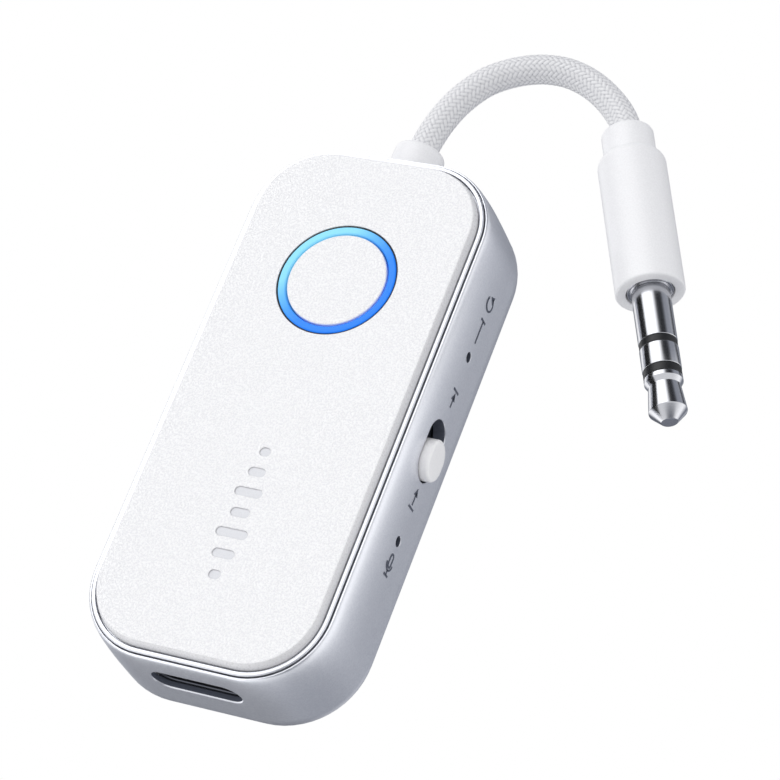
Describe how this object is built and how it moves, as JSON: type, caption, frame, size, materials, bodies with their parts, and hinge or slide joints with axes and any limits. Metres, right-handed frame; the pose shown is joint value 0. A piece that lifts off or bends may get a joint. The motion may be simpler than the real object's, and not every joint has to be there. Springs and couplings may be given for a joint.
{
  "type": "bluetooth audio receiver",
  "caption": "Flat pocket audio adapter with a lit round button, side slide switch, USB-C port and a short braided cord to a 3.5 mm stereo plug.",
  "frame": {"origin": "centre of the flat back face that the object lies on", "axes": "+Z out of the front plate, +Y along the body towards the end where the cord leaves, +X towards the side with the slide switch"},
  "size_m": [0.0441, 0.0694, 0.012],
  "materials": {
    "silver_paint": "satin metallic silver paint over moulded plastic",
    "white_satin": "moulded, fine satin",
    "white_grain": "moulded with a fine leather grain",
    "film_white": "adhesive film, matt",
    "blue_light": "clear light guide lit cyan to blue, glossy",
    "nylon_natural": "moulded nylon, natural",
    "black_plastic": "moulded, black, satin",
    "steel": "stamped, nickel plated",
    "lamp_white": "clear epoxy over white",
    "board_green": "glass epoxy with green solder mask",
    "chip_black": "moulded epoxy, black",
    "foil": "laminated aluminium foil, satin",
    "ceramic": "fired, matt",
    "ferrite": "ferrite, dark grey",
    "tantalum": "moulded epoxy, ochre",
    "wire_red": "extruded insulation, red",
    "wire_black": "extruded insulation, black",
    "wire_copper": "enamelled copper",
    "rubber": "silicone rubber, matt",
    "braid": "braided polyester yarn, white",
    "jack_metal": "polished nickel plate over brass"
  },
  "bodies": {
    "body": {"back_shell": "silver_paint", "front_frame": "silver_paint", "strain_relief": "white_satin", "plug_collar": "white_satin", "plug_barrel": "white_satin", "front_plate": "white_grain", "plate_film": "film_white", "battery_tape": "film_white", "light_ring": "blue_light", "plug_core": "nylon_natural", "usb_c_tongue": "black_plastic", "jack_band_1": "black_plastic", "jack_band_2": "black_plastic", "main_switch_body": "steel", "board_screw_1": "steel", "board_screw_2": "steel", "board_screw_3": "steel", "board_screw_4": "steel", "usb_c_shell": "steel", "slide_switch_frame": "steel", "reset_switch_body": "steel", "ring_lamp_1": "lamp_white", "ring_lamp_2": "lamp_white", "ring_lamp_3": "lamp_white", "ring_lamp_4": "lamp_white", "circuit_board": "board_green", "bluetooth_chip": "chip_black", "charger_chip": "chip_black", "crystal": "foil", "battery": "foil", "microphone": "foil", "chip_antenna": "ceramic", "power_inductor": "ferrite", "audio_capacitor_left": "tantalum", "audio_capacitor_right": "tantalum", "battery_wire_red": "wire_red", "audio_wire_right": "wire_red", "battery_wire_black": "wire_black", "audio_wire_ground": "wire_black", "audio_wire_left": "wire_copper", "microphone_boot": "rubber", "cord": "braid", "jack_sleeve": "jack_metal", "jack_ring": "jack_metal", "jack_tip": "jack_metal"},
    "button": {"button_cap": "white_grain", "button_carrier": "nylon_natural", "main_switch_plunger": "black_plastic"},
    "mode_slider": {"slide_knob": "white_satin", "slide_shutter": "black_plastic", "slide_switch_actuator": "black_plastic"},
    "reset_button": {"reset_plunger": "black_plastic"}
  },
  "joints": [
    {"name": "button_press", "type": "slide", "parent": "body", "child": "button", "axis": [0, 0, -1], "range_m": [0, 0.0003], "stiffness_N_per_m": 4000},
    {"name": "mode_slide", "type": "slide", "parent": "body", "child": "mode_slider", "axis": [0, 1, 0], "range_m": [0, 0.0017]},
    {"name": "reset_press", "type": "slide", "parent": "body", "child": "reset_button", "axis": [-1, 0, 0], "range_m": [0, 0.00025], "stiffness_N_per_m": 3000}
  ]
}
